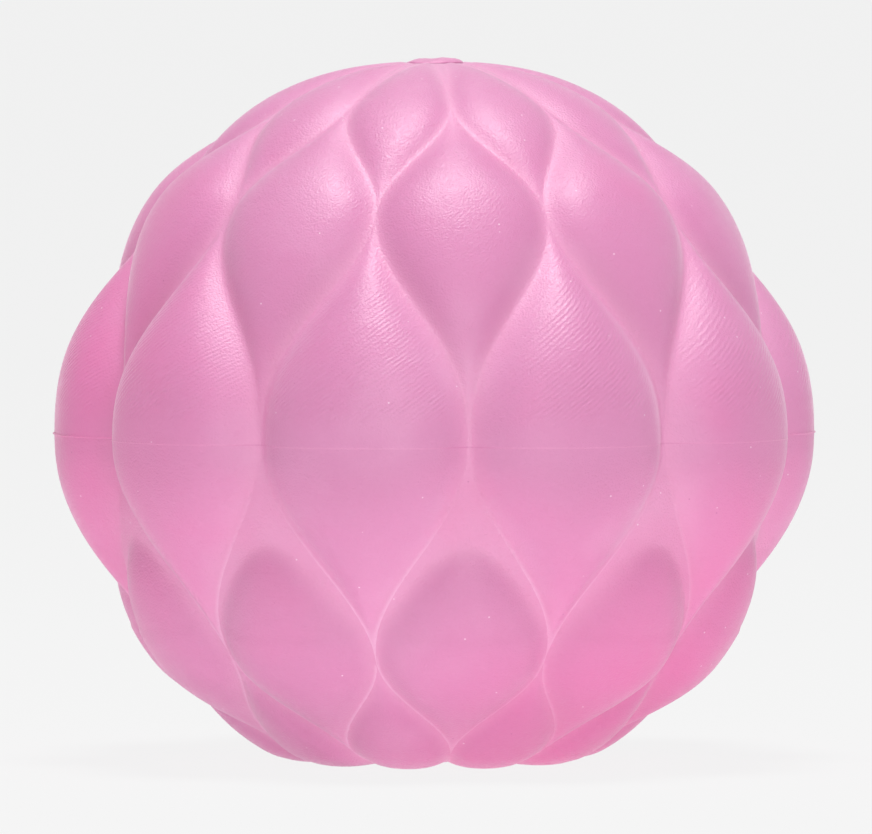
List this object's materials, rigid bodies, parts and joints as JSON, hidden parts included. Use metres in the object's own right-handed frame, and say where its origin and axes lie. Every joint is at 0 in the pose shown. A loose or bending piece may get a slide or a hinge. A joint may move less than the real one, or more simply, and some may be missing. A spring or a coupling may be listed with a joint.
{
  "type": "hand exercise ball",
  "caption": "Soft squeeze ball for hand and finger exercise, its skin moulded in rows of overlapping lotus petals, standing on a small flat pole.",
  "frame": {"origin": "centre of the flat face at the lower pole, on which the ball stands", "axes": "+Z from the flat face up to the filling plug; the middle row has a groove on each end of the Y axis and a petal on each end of the X axis"},
  "size_m": [0.0604, 0.0588, 0.0554],
  "materials": {
    "skin": "translucent pink silicone, satin",
    "bond": "translucent pink silicone adhesive, satin",
    "core": "soft pink silicone gel, satin"
  },
  "bodies": {
    "root": {"upper_skin": "skin", "lower_skin": "skin", "seam_bond": "bond", "core": "core", "filling_plug": "skin"}
  },
  "joints": []
}
